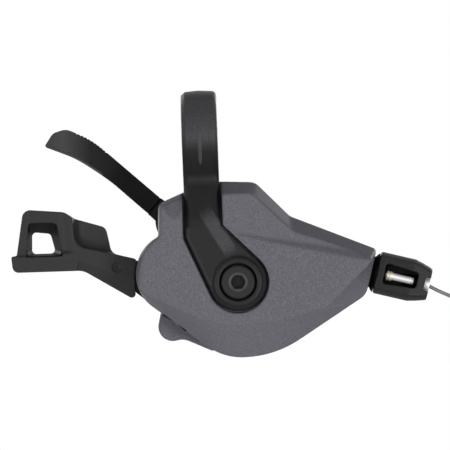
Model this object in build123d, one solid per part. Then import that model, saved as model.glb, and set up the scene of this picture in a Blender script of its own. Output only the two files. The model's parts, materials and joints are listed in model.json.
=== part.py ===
from build123d import *
import math
import os

# Trigger gear shifter for a bicycle handlebar, in millimetres and degrees.
# X runs along the bar towards the cable outlet, Y away from the viewer towards the rider, Z up.
# The origin is the centre of the handlebar inside the clamp band.
# Front-view points are (X, Z). Angles in the front view turn anticlockwise from +X.

# Clearances
band_gap = 0.4          # between the band and the covers, in depth
recess_gap = 0.6        # between the front arm and the edge of its recess
run_gap = 0.1           # between plates that move side by side
bore_gap = 0.05         # between a shaft and its bore
press_gap = 0.02        # between a pin and the plate that holds it
slot_gap = 0.5          # between a lever and the slot in the covers
overrun = 1.0           # by which a cutting shape passes what it cuts

# Handlebar clamp
bar_diameter = 22.2
band_thickness = 2.8
band_width = 11.2
band_wrap = 35.0        # how far the ring reaches below the bar's centre at the front
waist_drop = 14.0       # from the bar's centre down to the pinched waist
elbow_drop = 27.0       # from the bar's centre down to the elbow of the front arm
shoulder_drop = 28.6    # from the bar's centre down to where the arm leaves the strap, at its right
flank_drop = 32.0       # the same at its left
strap_roof = 0.3        # by which the strap's outer face falls from its middle to its edges
left_bevel = 1.4        # width and depth of the bevels along the strap's edges
left_bevel_depth = 1.3
right_bevel = 0.9
right_bevel_depth = 0.8
arm_round = 1.2         # rounding of the arm's edges
facet_angle = -60.8     # of the ridge between the arm's two facets
facet_length = 34.0
facet_width = 14.0
facet_fall = 4.0        # of the right facet over its width, at the strap
facet_end = 0.02        # the same beside the boss
arm_depth = 11.5        # from the bar's centre forward to the back of the front arm
bend_radius = 5.0
boss_radius = 9.0
boss_height = 0.9       # of the boss above the arm
crown_radius = 7.9      # of the raised part of the boss
crown_chamfer = 0.7

# Axle and clamp bolt
axle_x = 10.3
axle_drop = 46.2        # from the bar's centre down to the axle
axle_radius = 4.5
stud_radius = 3.4
nut_flats = 11.0
nut_height = 3.2
nut_flange_radius = 8.0
nut_flange_height = 1.1
stud_proud = 0.6        # of the stud beyond its nut
head_radius = 5.3
head_height = 2.4
head_chamfer = 0.5
head_gap = 0.5          # between the bolt's head and the boss
sink_radius = 2.9       # of the countersink round the hexagon socket
sink_depth = 0.33
bolt_radius = 2.5
bolt_length = 13.0
bolt_hole_gap = 0.25
socket_flats = 4.0
socket_depth = 3.0
axle_shortfall = 0.6    # gap left for tightening between the axle's end and the front arm

# Covers
wall = 1.6
front_depth = 14.0      # from the bar's centre forward to the front cover's face
bevel_depth = 6.0       # from the bar's centre forward to the start of the bevels
parting = 3.9           # from the bar's centre back to the joint between the covers
rear_bevel = 3.4        # depth of the rear cover's bevel
rear_inset = 1.8        # width of the rear cover's bevel
crease_angle = -12.8
crease_length = 57.0
crease_rise = 2.7       # width and depth of the step above the crease, at the nose
crease_cut = 2.6
crease_far = 22.0       # height of the stretch above the crease
crease_fall = 1.2       # of that stretch beyond the step
crease_start = 0.02     # depth and width of the step behind the strap
crease_start_rise = 0.5
dimple_radius = 3.4
dimple_slope = 0.5      # of the dimple's floor
dimple_length = 30.0
plateau_edge = 1.3      # width and depth of the soft edge between the front face and its bevels
plateau_edge_depth = 0.5
lobe_fillet = 1.2
screw_radius = 1.2
screw_head_radius = 2.2
screw_head_height = 1.5
screw_length = 12.0
pillar_radius = 2.8
port_radius = 3.6
port_slot_length = 5.4
port_slot_width = 1.0

# Plates of the mechanism
base_thickness = 1.4
top_thickness = 1.3
spring_room = 1.2       # between base plate and thumb lever
post_radius = 1.5
post_shoulder = 2.25
plate_corner = 2.0
spacer_radius = 6.3
pin_radius = 1.25
clip_thickness = 0.8
clip_width = 1.9
clip_groove = 0.6
clip_opening = 70.0

# Drum and ratchets
drum_radius = 12.4      # to the middle of the cable
drum_width = 4.0
flange_height = 1.5     # of the drum's flanges beyond the middle of the cable
groove_width = 1.8
hub_radius = 6.5
hub_flats = 11.0
ratchet_thickness = 1.7
tooth_pitch = 16.5
tooth_share = 0.97      # share of the pitch that a tooth's ramp takes
tooth_depth = 1.6
winding_radius = 11.0
holding_radius = 13.0
clicks = 10
stroke_clicks = 2       # clicks that one full push of the thumb lever winds
tooth_gap = 0.15        # between a lifted pawl and the tips of the teeth
tooth_lead = 2.4        # from the winding pawl's nose to the tooth that it will push
drum_room = 1.2         # between drum and top plate
nipple_radius = 2.0
nipple_length = 4.0
nipple_angle = 118.0

# Pawls and springs
pawl_hub = 2.4
winding_nose = 0.5
holding_nose = 0.6
lug_margin = 0.4        # of the lever's lug round the pawl's hub
winding_pivot_radius = 16.6
winding_pivot_angle = 262.0
winding_nose_angle = 290.0
holding_nose_angle = 204.0
spring_wire = 0.7
drum_spring_radius = 5.6
drum_spring_step = 1.5
drum_spring_halves = 6
lever_spring_radius = 7.4
release_spring_radius = 3.0
pawl_spring_radius = 1.9

# Thumb lever
lever_thickness = 2.0
lever_hub_radius = 10.0
slot_start = 158.0      # room for the lever's swing, as angles at the axle
slot_end = 236.0
arm_corner = 0.5
lever_skin = 1.5        # of the moulding over the steel arm
pad_end_radius = 32.3   # from the axle to the inner end of the moulding
pad_depth = 13.0        # of the moulding at its outer end
pad_slope = 1.0         # by which the outer end deepens further
pad_bend_start = 35.5   # from the axle to where the moulding deepens
pad_bend_end = 42.5
pad_bend = 4.0
pad_reach = 80.0        # of the block that the moulding is cut from
frame_step = 1.2        # of the window frame below the lever's face
pad_end_round = 1.2
window_corner = 1.2
scoop_depth = 4.4
scoop_round = 3.4
mark_radius = 1.6       # of the round mark at the root of the lever
mark_depth = 0.4
mark_dot = 0.35
chamfer_slope = 0.42
chamfer_angle = -22.0
insert_gap = 0.05       # between a steel arm and its moulding

# Release lever
release_hub_radius = 7.8
release_angle = 138.5
release_joggle = 12.1
joggle_start = 10.5     # from the pivot to the bends of the arm
joggle_end = 25.0
joggle_bend = 16.0
release_length = 44.0   # from the pivot to the end of the steel arm
cap_root = 9.4          # from the pivot to the inner end of the moulding
cap_tip = 28.0          # from the pivot to where the moulding deepens
root_gap = 0.2          # between the moulding and the arm's broad root
root_taper = 2.0        # over which the arm narrows into the moulding
slot_below = 24.0       # room for the arm's swing, in degrees
slot_above = 40.0
finger_root = 3.0
finger_tip = 1.0
release_cap_depth = 8.0
cap_skin = 1.1
grip_ribs = 10
rib_pitch = 1.2
rib_radius = 0.35
rib_start = 32.0        # from the pivot to the first rib
rib_crest = 34.2        # from the pivot to where the row of ribs begins to fall
rib_line = 2.1          # of the row of ribs from the lever's axis
rib_curve = 0.02        # by which the row falls, with the square of its length

# Cable and adjuster, with distances along the cable from the drum
cable_radius = 0.6
cable_gap = 0.1         # between the cable and the bores that it passes
cable_fall = 15.1       # slope of the cable below the bar's direction
nose_end = 39.8
nose_bore = 3.6
nose_rim = 0.3          # from the edge of the cover's face to the nose's end
socket_length = 4.0     # of the neck inside the nose
neck_length = 1.3
neck_straight = 0.4
neck_radius = 4.9
neck_flare = 1.2
spigot_radius = 3.0
spigot_length = 3.0
washer_thickness = 0.4
knob_length = 16.9
knob_radius = 7.0
knob_tip_radius = 5.1
knob_straight = 11.0
knob_shoulder = 2.6     # length and drop of the knob's first slope
knob_shoulder_drop = 0.7
knob_chamfer = 0.4
knob_tip_round = 0.8
knob_back_wall = 1.6
knob_bore = 3.6
knob_end_wall = 3.2
window_start = 2.2
window_length = 10.6
window_half_width = 3.4
window_taper = 0.9
window_round = 1.0
knob_flats = 3
knob_turn = 6.0         # of the front flat above the view's axis, in degrees
knob_flat = 4.8         # from the cable to the flats
knob_flat_tip = 3.7     # the same at the tip
notch_depth = 1.7       # of the slot across the knob's tip
tube_radius = 1.1
tube_flange_radius = 1.9
mouth_radius = 1.5      # of the flared end of the tube's bore
mouth_depth = 3.0
bush_radius = 1.5
bush_length = 1.8
bush_valley = 1.35
bush_rest = 0.3         # between the spigot and the bush at rest
tube_proud = 0.1        # of the tube beyond the knob's tip

# Put-away cable
coil_radius = 10.8
bundle_radius = 3.9
lead_run = 1.4          # of the free cable in line with the tube
droop = [(2.8, -1.08), (5.3, -2.6), (10.5, -5.0), (21.1, -9.6), (32.0, -14.1)]
arc_share = 0.45        # of a run that the bend at its end takes
coil_sides = 12         # of the coil's section
tie_width = 14.0        # in degrees round the coil
tie_thickness = 0.5

# Worked-out depths, from the rear to the front
bar_radius = bar_diameter / 2
axle_z = -axle_drop
flange_radius = drum_radius + flange_height
rear_face = bar_radius - band_gap / 2
rear_floor = rear_face - wall
base_front = rear_floor - base_thickness
lever_back = base_front - spring_room
lever_front = lever_back - lever_thickness
winding_back = lever_front - run_gap
winding_front = winding_back - ratchet_thickness
holding_front = winding_front - ratchet_thickness
drum_front = holding_front - drum_width
top_back = drum_front - drum_room
top_front = top_back - top_thickness
cable_y = holding_front - drum_width / 2
arm_y = -arm_depth
axle_front = arm_y + axle_shortfall
seat_y = arm_y - band_thickness + head_height - boss_height

# Worked-out places in the front view
axle = (axle_x, axle_z)
cable_run = (math.cos(math.radians(cable_fall)), -math.sin(math.radians(cable_fall)))
cable_rise = (-cable_run[1], cable_run[0])
knob_start = nose_end + neck_length + washer_thickness
cable_exit = knob_start + knob_length + tube_proud
mouth_start = cable_exit - mouth_depth


def polar(radius, angle, centre=axle):
    """Front-view point at a radius and angle from a centre."""
    turn = math.radians(angle)
    return (centre[0] + radius * math.cos(turn), centre[1] + radius * math.sin(turn))


def at_axle(x, z):
    """Front-view point measured from the axle."""
    return (axle_x + x, axle_z + z)


def along_cable(distance, rise=0.0):
    """Front-view point along the cable from the drum, and above it."""
    start = polar(drum_radius, 90 - cable_fall)
    return (
        start[0] + distance * cable_run[0] + rise * cable_rise[0],
        start[1] + distance * cable_run[1] + rise * cable_rise[1],
    )


release_pivot = at_axle(-17.3, 19.5)
winding_pivot = polar(winding_pivot_radius, winding_pivot_angle)
holding_pivot = at_axle(-17.3, 1.2)
holding_tail = at_axle(-17.9, 8.2)
finger_place = at_axle(-20.6, 9.1)
post_places = [at_axle(12.0, 14.0), at_axle(18.5, -5.0)]
screw_places = [at_axle(8.7, 24.7), at_axle(28.7, -3.3), at_axle(16.7, -14.8)]
port_place = at_axle(22.0, 9.0)
dimple_place = at_axle(-19.3, 20.0)
crease_place = at_axle(-11.35, 16.9)
facet_place = at_axle(-13.0, 26.0)
chamfer_place = at_axle(-49.3, 8.4)
mark_place = at_axle(-37.6, 5.8)

cable_start = along_cable(0)
cable_frame = Plane(
    origin=(cable_start[0], cable_y, cable_start[1]),
    x_dir=(0, -1, 0),
    z_dir=(cable_run[0], 0, cable_run[1]),
)


def front(y):
    """Plane of the front view at a depth."""
    return Plane(origin=(0, y, 0), x_dir=(1, 0, 0), z_dir=(0, -1, 0))


def slab(face, y_front, y_back):
    """Prism of a front-view face between two depths."""
    return extrude(front(y_back) * face, y_back - y_front, dir=(0, -1, 0))


def disc(centre, radius):
    """Round front-view face."""
    return Pos(*centre) * Circle(radius)


def washer(centre, outer, inner):
    """Ring-shaped front-view face."""
    return disc(centre, outer) - disc(centre, inner)


def outline(corners):
    """Face from corners (x, z, radius)."""
    points = [(x, z) for x, z, radius in corners]
    radii = [radius for x, z, radius in corners]
    return make_face(FilletPolyline(*points, radius=radii, close=True).edges())


def polygon(points):
    """Face from plain corners."""
    return make_face(Polyline(*points, close=True).edges())


def inset(corners, distance):
    """Corners of a clockwise outline moved inwards."""
    moved = []
    for i, (x, z, radius) in enumerate(corners):
        before = Vector(*corners[i - 1][:2])
        here = Vector(x, z)
        after = Vector(*corners[(i + 1) % len(corners)][:2])
        inward = (here - before).normalized()
        onward = (after - here).normalized()
        first = Vector(inward.Y, -inward.X)
        second = Vector(onward.Y, -onward.X)
        place = here + (first + second) * (distance / (1 + first.dot(second)))
        convex = inward.X * onward.Y - inward.Y * onward.X < 0
        radius = max(radius - distance, 0.3) if convex else radius + distance
        moved.append((place.X, place.Y, radius))
    return moved


def between(first, second, share):
    """Corners a share of the way from one outline to another."""
    pairs = zip(first, second)
    return [tuple(a + (b - a) * share for a, b in zip(*pair)) for pair in pairs]


def wedge(place, depth, angle, length, near, far):
    """Cutting solid along a front-view line, from its near profile (across, forwards) to its far one."""
    turn = math.radians(angle)
    start = Plane(
        origin=(place[0], depth, place[1]),
        x_dir=(-math.sin(turn), 0, math.cos(turn)),
        z_dir=(math.cos(turn), 0, math.sin(turn)),
    )
    return loft([start * polygon(near), start.offset(length) * polygon(far)], ruled=True)


def about_cable(profile):
    """Solid turned about the cable from points (distance, radius)."""
    section = polygon([(radius, distance) for distance, radius in profile])
    return cable_frame * revolve(Plane.XZ * section, Axis.Z)


# Clamp band


def arm_outline(top):
    """Front view of the strap below a height, with its arm."""
    half = band_width / 2
    shoulder = (half, -shoulder_drop)
    flank = (-half, -flank_drop)
    right = tangent_point(shoulder, -1)
    left = tangent_point(flank, 1)
    corners = [(-half, top), (half, top), right, axle, left, flank]
    if top > -shoulder_drop:
        corners.insert(2, shoulder)
    return polygon(corners) + disc(axle, boss_radius)


def tangent_point(point, side):
    """Point where a line from outside touches the boss."""
    x = point[0] - axle_x
    z = point[1] - axle_z
    spread = math.degrees(math.acos(boss_radius / math.hypot(x, z)))
    return polar(boss_radius, math.degrees(math.atan2(z, x)) + side * spread)


def arm_path():
    """Side-view corners (Y, Z) of the middle of the front arm, from the ring to its end."""
    middle = bar_radius + band_thickness / 2
    turn = math.radians(180 + band_wrap)
    start = (middle * math.cos(turn), middle * math.sin(turn))
    reach = (start[1] + waist_drop) / math.cos(turn)
    waist = (start[0] + reach * math.sin(turn), -waist_drop)
    elbow = (arm_y - band_thickness / 2, -elbow_drop)
    foot = (elbow[0], axle_z - boss_radius - overrun)
    return [start, waist, elbow, foot]


def strap_section():
    """Section of the strap: a low roof with a bevel along each edge."""
    half = band_width / 2
    face = band_thickness / 2
    eaves = face - strap_roof
    return polygon(
        [
            (-half, -face),
            (half, -face),
            (half, eaves - right_bevel_depth),
            (half - right_bevel, eaves),
            (0, face),
            (left_bevel - half, eaves),
            (-half, eaves - left_bevel_depth),
        ]
    )


def strap():
    """Strap swept from the rear arm over the bar to the front arm."""
    middle = bar_radius + band_thickness / 2
    ring_start, waist, elbow, foot = arm_path()
    rear = Line((middle, -flank_drop), (middle, 0))
    ring = CenterArc((0, 0), middle, 0, 180 + band_wrap)
    arm = FilletPolyline(ring_start, waist, elbow, (foot[0], -flank_drop), radius=bend_radius)
    path = (Plane.YZ * (Curve() + [rear, ring, arm])).wire()
    section = Plane(origin=path @ 0, x_dir=(1, 0, 0), z_dir=path % 0) * strap_section()
    return sweep(section, path=path)


def rounded_arm(y_front, y_back, outer_side):
    """Arm from the strap to the axle, rounded along the edges of its outer side."""
    arm = slab(arm_outline(-shoulder_drop), y_front, y_back)
    rim = arm.edges().group_by(Axis.Y)[outer_side].sort_by(Axis.Z)[:-1]
    return fillet(rim, arm_round)


def arm_facet():
    """Material taken off right of the ridge along the front arm."""
    far = 2 * facet_width
    near = [(0, 0), (facet_width, -facet_fall), (facet_width, far), (0, far)]
    end = [(0, 0), (facet_width, -facet_end), (facet_width, far), (0, far)]
    return wedge(facet_place, arm_y - band_thickness, facet_angle, facet_length, near, end)


def clamp_band():
    """Ring round the bar with a waisted front arm and a straight rear arm."""
    outer = bar_radius + band_thickness
    face_y = arm_y - band_thickness
    boss_front = face_y - boss_height
    band = strap() + rounded_arm(face_y, arm_y, 0) + rounded_arm(bar_radius, outer, -1)
    band -= arm_facet()
    crown = slab(disc(axle, crown_radius), boss_front, arm_y)
    band += chamfer(crown.edges().sort_by(Axis.Y)[0], crown_chamfer)
    band -= slab(disc(axle, head_radius + head_gap), boss_front, seat_y)
    band -= slab(disc(axle, bolt_radius + bolt_hole_gap), seat_y, arm_y)
    band -= slab(disc(axle, stud_radius + press_gap), bar_radius, outer)
    return band


def clamp_bolt():
    """Broad-headed bolt with a hexagon socket."""
    head_front = seat_y - head_height
    bolt = slab(disc(axle, head_radius), head_front, seat_y)
    bolt = chamfer(bolt.edges().sort_by(Axis.Y)[0], head_chamfer)
    bolt += slab(disc(axle, bolt_radius), seat_y, seat_y + bolt_length)
    hexagon = Pos(*axle) * RegularPolygon(socket_flats / math.sqrt(3), 6)
    rim = front(head_front) * disc(axle, sink_radius)
    floor = front(head_front + sink_depth) * disc(axle, socket_flats / 2)
    bolt -= loft([rim, floor])
    return bolt - slab(hexagon, head_front, head_front + socket_depth)


def main_axle():
    """Hollow stud: threaded end through the rear arm, shaft for drum and lever."""
    stud_end = bar_radius + band_thickness + nut_height + stud_proud
    shaft = slab(disc(axle, axle_radius), axle_front, base_front)
    shaft += slab(disc(axle, stud_radius), base_front, stud_end)
    shaft -= slab(disc(axle, bolt_radius + bore_gap), axle_front, seat_y + bolt_length + overrun)
    groove_front = top_front - run_gap - clip_thickness
    groove = washer(axle, axle_radius, axle_radius - clip_groove)
    return shaft - slab(groove, groove_front, top_front - run_gap)


def axle_clip():
    """Open retaining ring in the axle's groove."""
    inner = axle_radius - clip_groove + press_gap
    ring = washer(axle, axle_radius + clip_width, inner)
    far = 4 * axle_radius
    half = clip_opening / 2
    ring -= polygon([axle, polar(far, -half), polar(far, half)])
    back = top_front - run_gap - press_gap
    return slab(ring, back - clip_thickness + 2 * press_gap, back)


def axle_nut():
    """Flanged nut behind the rear arm."""
    seat = bar_radius + band_thickness
    hexagon = Pos(*axle) * RegularPolygon(nut_flats / math.sqrt(3), 6)
    nut = slab(hexagon, seat, seat + nut_height)
    nut += slab(disc(axle, nut_flange_radius), seat, seat + nut_flange_height)
    return nut - slab(disc(axle, stud_radius + press_gap), seat, seat + nut_height)


# Covers


def side_corners():
    """Silhouette of the housing, clockwise from the ear."""
    return [
        (*at_axle(-24.0, 25.1), 2.5),
        (*at_axle(-8.3, 31.6), 4.0),
        (*at_axle(6.4, 30.8), 4.0),
        (*at_axle(16.9, 19.8), 3.0),
        (*along_cable(nose_end, 7.2), 1.2),
        (*along_cable(nose_end, -7.4), 5.0),
        (*at_axle(10.6, -23.6), 33.0),
        (*at_axle(-5.3, -23.6), 18.0),
        (*at_axle(-32.8, -2.2), 12.2),
        (*at_axle(-30.3, 11.8), 12.2),
        (*at_axle(-24.4, 14.9), 0.8),
    ]


def face_corners():
    """Front face of the front cover inside its bevels, corner for corner."""
    return [
        (*at_axle(-23.5, 24.4), 2.3),
        (*at_axle(-8.5, 27.2), 4.0),
        (*at_axle(5.0, 27.0), 4.0),
        (*at_axle(18.0, 13.9), 3.0),
        (*along_cable(nose_end - nose_rim, 3.6), 1.0),
        (*at_axle(26.2, -9.3), 4.0),
        (*at_axle(7.2, -12.5), 88.0),
        (*at_axle(-7.8, -12.5), 31.0),
        (*at_axle(-31.3, -1.6), 2.5),
        (*at_axle(-29.7, 11.2), 11.5),
        (*at_axle(-23.9, 15.1), 0.8),
    ]


def arm_channel(side_gap, back_gap):
    """Space in front of the strap and its arm, with a gap beside and behind them."""
    waist, elbow, foot = arm_path()[1:]
    behind = band_thickness / 2 + back_gap
    space = polygon(
        [
            (4 * arm_y, bar_radius),
            (waist[0] + 1.2 * behind, bar_radius),
            (waist[0] + 1.2 * behind, waist[1]),
            (elbow[0] + behind, elbow[1] - 0.3 * behind),
            (foot[0] + behind, 2 * foot[1]),
            (4 * arm_y, 2 * foot[1]),
        ]
    )
    reach = axle_x + 3 * boss_radius
    plan = slab(offset(arm_outline(bar_diameter), side_gap), 5 * arm_y, bar_radius)
    return extrude(Plane.YZ * space, reach, both=True) & plan


def lobe_corners():
    """Round lobe at the lower left, running out along the lower edge."""
    return [
        (*at_axle(-22.0, -5.0), 1.5),
        (*at_axle(-24.6, -9.0), 3.0),
        (*at_axle(-27.1, -19.9), 4.6),
        (*at_axle(-17.8, -17.4), 5.0),
        (*at_axle(-7.5, -22.2), 1.5),
        (*at_axle(-5.0, -12.0), 1.5),
    ]


def crease():
    """Material taken off above the crease, deeper towards the nose."""
    far = 2 * crease_far
    near = [(0, 0), (crease_start_rise, -crease_start), (far, -crease_start), (far, far), (0, far)]
    floor = crease_cut + crease_fall * far / crease_far
    end = [(0, 0), (crease_rise, -crease_cut), (far, -floor), (far, far), (0, far)]
    return wedge(crease_place, -front_depth, crease_angle, crease_length, near, end)


def dimple(gap):
    """Round groove in the ear that deepens upwards."""
    slope = math.hypot(1, dimple_slope)
    axis_y = -front_depth - dimple_radius * slope
    frame = Plane(
        origin=(dimple_place[0], axis_y, dimple_place[1]), x_dir=(1, 0, 0), z_dir=(0, dimple_slope, 1)
    )
    return frame * Cylinder(dimple_radius + gap, dimple_length)


def release_slot():
    """Front view of the slot for the release lever."""
    reach = 3.5 * release_hub_radius
    middle = release_angle + (slot_above - slot_below) / 2
    angles = [release_angle - slot_below, middle, release_angle + slot_above]
    fan = polygon([release_pivot] + [polar(reach, angle, release_pivot) for angle in angles])
    return fan + disc(release_pivot, release_hub_radius + slot_gap)


def front_cover():
    """Moulded front shell with face, bevels, crease, ear and nose."""
    share = plateau_edge_depth / (front_depth - bevel_depth)
    face = front(-front_depth) * outline(inset(face_corners(), plateau_edge))
    edge_corners = between(face_corners(), side_corners(), share)
    edge = front(-front_depth + plateau_edge_depth) * outline(edge_corners)
    rim = front(-bevel_depth) * outline(side_corners())
    block = loft([face, edge, rim], ruled=True)
    block += slab(outline(side_corners()), -bevel_depth, parting)
    block -= crease()
    block -= dimple(0)
    block -= arm_channel(recess_gap, band_gap)
    inner_face = front(-front_depth + crease_cut + wall) * outline(inset(face_corners(), wall))
    inner_rim = front(-bevel_depth + wall) * outline(inset(side_corners(), wall))
    hollow = loft([inner_face, inner_rim], ruled=True)
    hollow += slab(outline(inset(side_corners(), wall)), -bevel_depth + wall, parting)
    hollow -= arm_channel(recess_gap + wall, band_gap + wall)
    hollow -= dimple(wall)
    for place in screw_places:
        hollow -= slab(disc(place, pillar_radius), -front_depth, parting)
    cover = block - hollow
    for place in screw_places:
        cover -= slab(disc(place, screw_radius), rear_face - screw_length - overrun, parting)
    cover -= slab(disc(axle, axle_radius + slot_gap), -front_depth, parting)
    cover -= slab(release_slot(), holding_front - slot_gap, parting)
    far = nose_end + overrun
    bore = [(nose_end / 2, 0), (nose_end / 2, nose_bore), (far, nose_bore), (far, 0)]
    return cover - about_cable(bore)


def rear_cover():
    """Rear shell with screw pillars, lever slot and the round lobe."""
    rim_y = rear_face - rear_bevel
    rim = front(rim_y) * outline(side_corners())
    back = front(rear_face) * outline(inset(side_corners(), rear_inset))
    shell = slab(outline(side_corners()), parting, rim_y) + loft([rim, back], ruled=True)
    lobe = slab(outline(lobe_corners()), lever_back + slot_gap, rear_face)
    lobe = fillet(lobe.edges().group_by(Axis.Y)[0], lobe_fillet)
    hollow = slab(outline(inset(side_corners(), wall)), parting, rim_y - wall)
    hollow += slab(outline(inset(side_corners(), rear_inset + wall)), parting, rear_floor)
    for place in screw_places:
        hollow -= slab(disc(place, pillar_radius), parting, rear_face)
    shell = shell + lobe - hollow
    angles = [slot_start + part / 3 * (slot_end - slot_start) for part in range(4)]
    fan = polygon([axle] + [polar(3 * pad_end_radius, angle) for angle in angles])
    shell -= slab(fan, parting, lever_back + slot_gap)
    for place in screw_places:
        shell -= slab(disc(place, screw_radius + bore_gap), parting, rear_face)
        shell -= slab(disc(place, screw_head_radius + bore_gap), rear_face - screw_head_height, rear_face)
    shell -= slab(disc(axle, stud_radius + press_gap), rear_floor, rear_face)
    return shell - slab(disc(port_place, port_radius + press_gap), rear_floor, rear_face)


def cover_screws():
    """Three screws through the rear cover into the front cover."""
    seat = rear_face - screw_head_height
    screws = []
    for place in screw_places:
        screw = slab(disc(place, screw_head_radius), seat, rear_face)
        screw += slab(disc(place, screw_radius - press_gap), rear_face - screw_length, seat)
        hexagon = Pos(*place) * RegularPolygon(screw_radius, 6)
        screws.append(screw - slab(hexagon, rear_face - screw_head_height / 2, rear_face))
    return Compound(children=[screw.solid() for screw in screws])


def cable_port_cap():
    """Round cap with a coin slot in the rear cover."""
    cap = slab(disc(port_place, port_radius), rear_floor, rear_face)
    slot = Pos(*port_place) * Rectangle(port_slot_length, port_slot_width)
    return cap - slab(slot, rear_face - wall / 2, rear_face)


# Mechanism plates


def plate_holes(places, radius):
    """Round holes at several places."""
    return Sketch() + [disc(place, radius + press_gap) for place in places]


def base_plate():
    """Rear plate that carries the axle, the posts and the release lever's pin."""
    left = [(3, -13), (-9, -13), (-20, 9), (-20.4, 21.4)]
    right = [(-12.5, 22.5), (13, 18), (17, 13), (23, -4), (19, -9.5)]
    face = outline([(*at_axle(x, z), plate_corner) for x, z in left + right])
    face -= disc(axle, stud_radius + press_gap)
    face -= plate_holes(post_places + [release_pivot], post_radius)
    return slab(face, base_front, rear_floor)


def top_plate():
    """Front plate that carries the pins of the release lever and the holding pawl."""
    left = [(3, -12), (-17, -4), (-21, 0), (-20.4, 21.4)]
    right = [(-12.5, 21.8), (14, 18), (17, 13), (22.5, -4), (18.5, -9)]
    face = outline([(*at_axle(x, z), plate_corner) for x, z in left + right])
    face -= disc(axle, axle_radius + press_gap)
    face -= plate_holes(post_places + [release_pivot], post_radius)
    face -= plate_holes([holding_pivot], pin_radius)
    return slab(face, top_front, top_back)


def plate_posts():
    """Two shouldered posts between the plates."""
    posts = []
    for place in post_places:
        post = slab(disc(place, post_radius), top_front, rear_floor)
        post += slab(disc(place, post_shoulder), top_back, base_front)
        posts.append(post.solid())
    return Compound(children=posts)


def lever_spacer():
    """Washer between base plate and thumb lever."""
    face = washer(axle, spacer_radius, axle_radius + bore_gap)
    return slab(face, lever_back + bore_gap, base_front)


# Drum


def hub_face(gap=0.0):
    """Hub with two flats that drives the ratchets."""
    return disc(axle, hub_radius + gap) & Pos(*axle) * Rectangle(3 * hub_radius, hub_flats + 2 * gap)


def nipple_frame():
    """Plane at the nipple's inner end, looking along the cable into the drum."""
    x, z = polar(drum_radius, nipple_angle)
    turn = math.radians(nipple_angle)
    return Plane(
        origin=(x, cable_y, z), x_dir=(0, -1, 0), z_dir=(-math.sin(turn), 0, math.cos(turn))
    )


def cable_drum():
    """Grooved pulley with a hub for the ratchets and a pocket for the nipple."""
    core = drum_radius - cable_radius - bore_gap
    groove_front = cable_y - groove_width / 2
    groove_back = cable_y + groove_width / 2
    drum = slab(disc(axle, flange_radius), drum_front, groove_front)
    drum += slab(disc(axle, core), groove_front, groove_back)
    drum += slab(disc(axle, flange_radius), groove_back, holding_front)
    drum += slab(hub_face(), holding_front, winding_back)
    drum -= slab(disc(axle, axle_radius + bore_gap), drum_front, winding_back)
    room = nipple_radius + bore_gap
    depth = nipple_length + 2 * bore_gap
    pocket = Cylinder(room, depth, align=(Align.CENTER, Align.CENTER, Align.MIN))
    outwards = Box(2 * room, 2 * flange_radius, depth, align=(Align.CENTER, Align.MIN, Align.MIN))
    return drum - nipple_frame() * Pos(0, 0, -bore_gap) * (pocket + Rot(0, 0, 180) * outwards)


def ratchet(radius, first_angle, count, thickness_front, thickness_back):
    """Toothed plate whose steep tooth faces look clockwise."""
    face = disc(axle, radius)
    for tooth in range(count):
        angle = first_angle - tooth * tooth_pitch
        notch = [
            polar(radius - tooth_depth, angle),
            polar(radius + tooth_depth, angle),
            polar(radius + tooth_depth, angle - tooth_pitch * tooth_share),
            polar(radius, angle - tooth_pitch * tooth_share),
        ]
        face -= polygon(notch)
    return slab(face - hub_face(press_gap), thickness_front, thickness_back)


def winding_ratchet():
    """Ratchet that the thumb lever's pawl pushes."""
    first = winding_nose_angle + tooth_lead + stroke_clicks * tooth_pitch
    return ratchet(winding_radius, first, clicks + stroke_clicks + 1, winding_front, winding_back)


def holding_ratchet():
    """Ratchet that the holding pawl catches, with a plain stretch under the pawl at rest."""
    first = holding_nose_angle - tooth_pitch
    return ratchet(holding_radius, first, clicks, holding_front, winding_front)


def cable_nipple():
    """Cast cylinder on the end of the cable."""
    nipple = Cylinder(nipple_radius, nipple_length, align=(Align.CENTER, Align.CENTER, Align.MIN))
    return nipple_frame() * nipple


def inner_cable():
    """Cable from the nipple round the drum and through the adjuster."""
    wrap = CenterArc(axle, drum_radius, nipple_angle, 90 - cable_fall - nipple_angle)
    straight = Line(along_cable(0), along_cable(mouth_start))
    path = front(cable_y) * (wrap + straight)
    start = path.wire()
    section = Plane(origin=start @ 0, z_dir=start % 0) * Circle(cable_radius)
    return sweep(section, path=start)


def drum_spring():
    """Flat spiral between the axle and the drum, made of half circles."""
    arcs = []
    radius = drum_spring_radius
    centre = axle_x
    for half in range(drum_spring_halves):
        arcs.append(CenterArc((centre, axle_z), radius, 180 * (half % 2), 180))
        step = drum_spring_step / 2
        centre += step if half % 2 else -step
        radius += step
    return spring_strip(arcs, drum_front - drum_room / 2)


def spring_strip(lines, y_middle):
    """Flat spring of square wire along a front-view path."""
    strip = trace(lines, spring_wire)
    return slab(strip, y_middle - spring_wire / 2, y_middle + spring_wire / 2)


def hairpin(centre, radius, start, sweep_angle, leg_in, leg_out):
    """Path of a hairpin spring: a bow with two straight legs."""
    bow = CenterArc(centre, radius, start, sweep_angle)
    first = Line(bow @ 0 - (bow % 0) * leg_in, bow @ 0)
    last = Line(bow @ 1, bow @ 1 + (bow % 1) * leg_out)
    return [first, bow, last]


# Thumb lever


def lever_face():
    """Front view of the steel arm, with its hub and the lug for the winding pawl."""
    corners = [
        (0, 7.6),
        (-33, 7.6),
        (-45.5, 9.4),
        (-46.5, 6.6),
        (-34, -0.6),
        (-31.5, -2.8),
        (-28.5, -5.2),
        (0, -5.2),
    ]
    arm = outline([(*at_axle(x, z), arm_corner) for x, z in corners])
    hub = disc(axle, lever_hub_radius)
    lug = make_hull((disc(axle, pawl_hub) + disc(winding_pivot, pawl_hub + lug_margin)).edges())
    return arm + hub + lug


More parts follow.
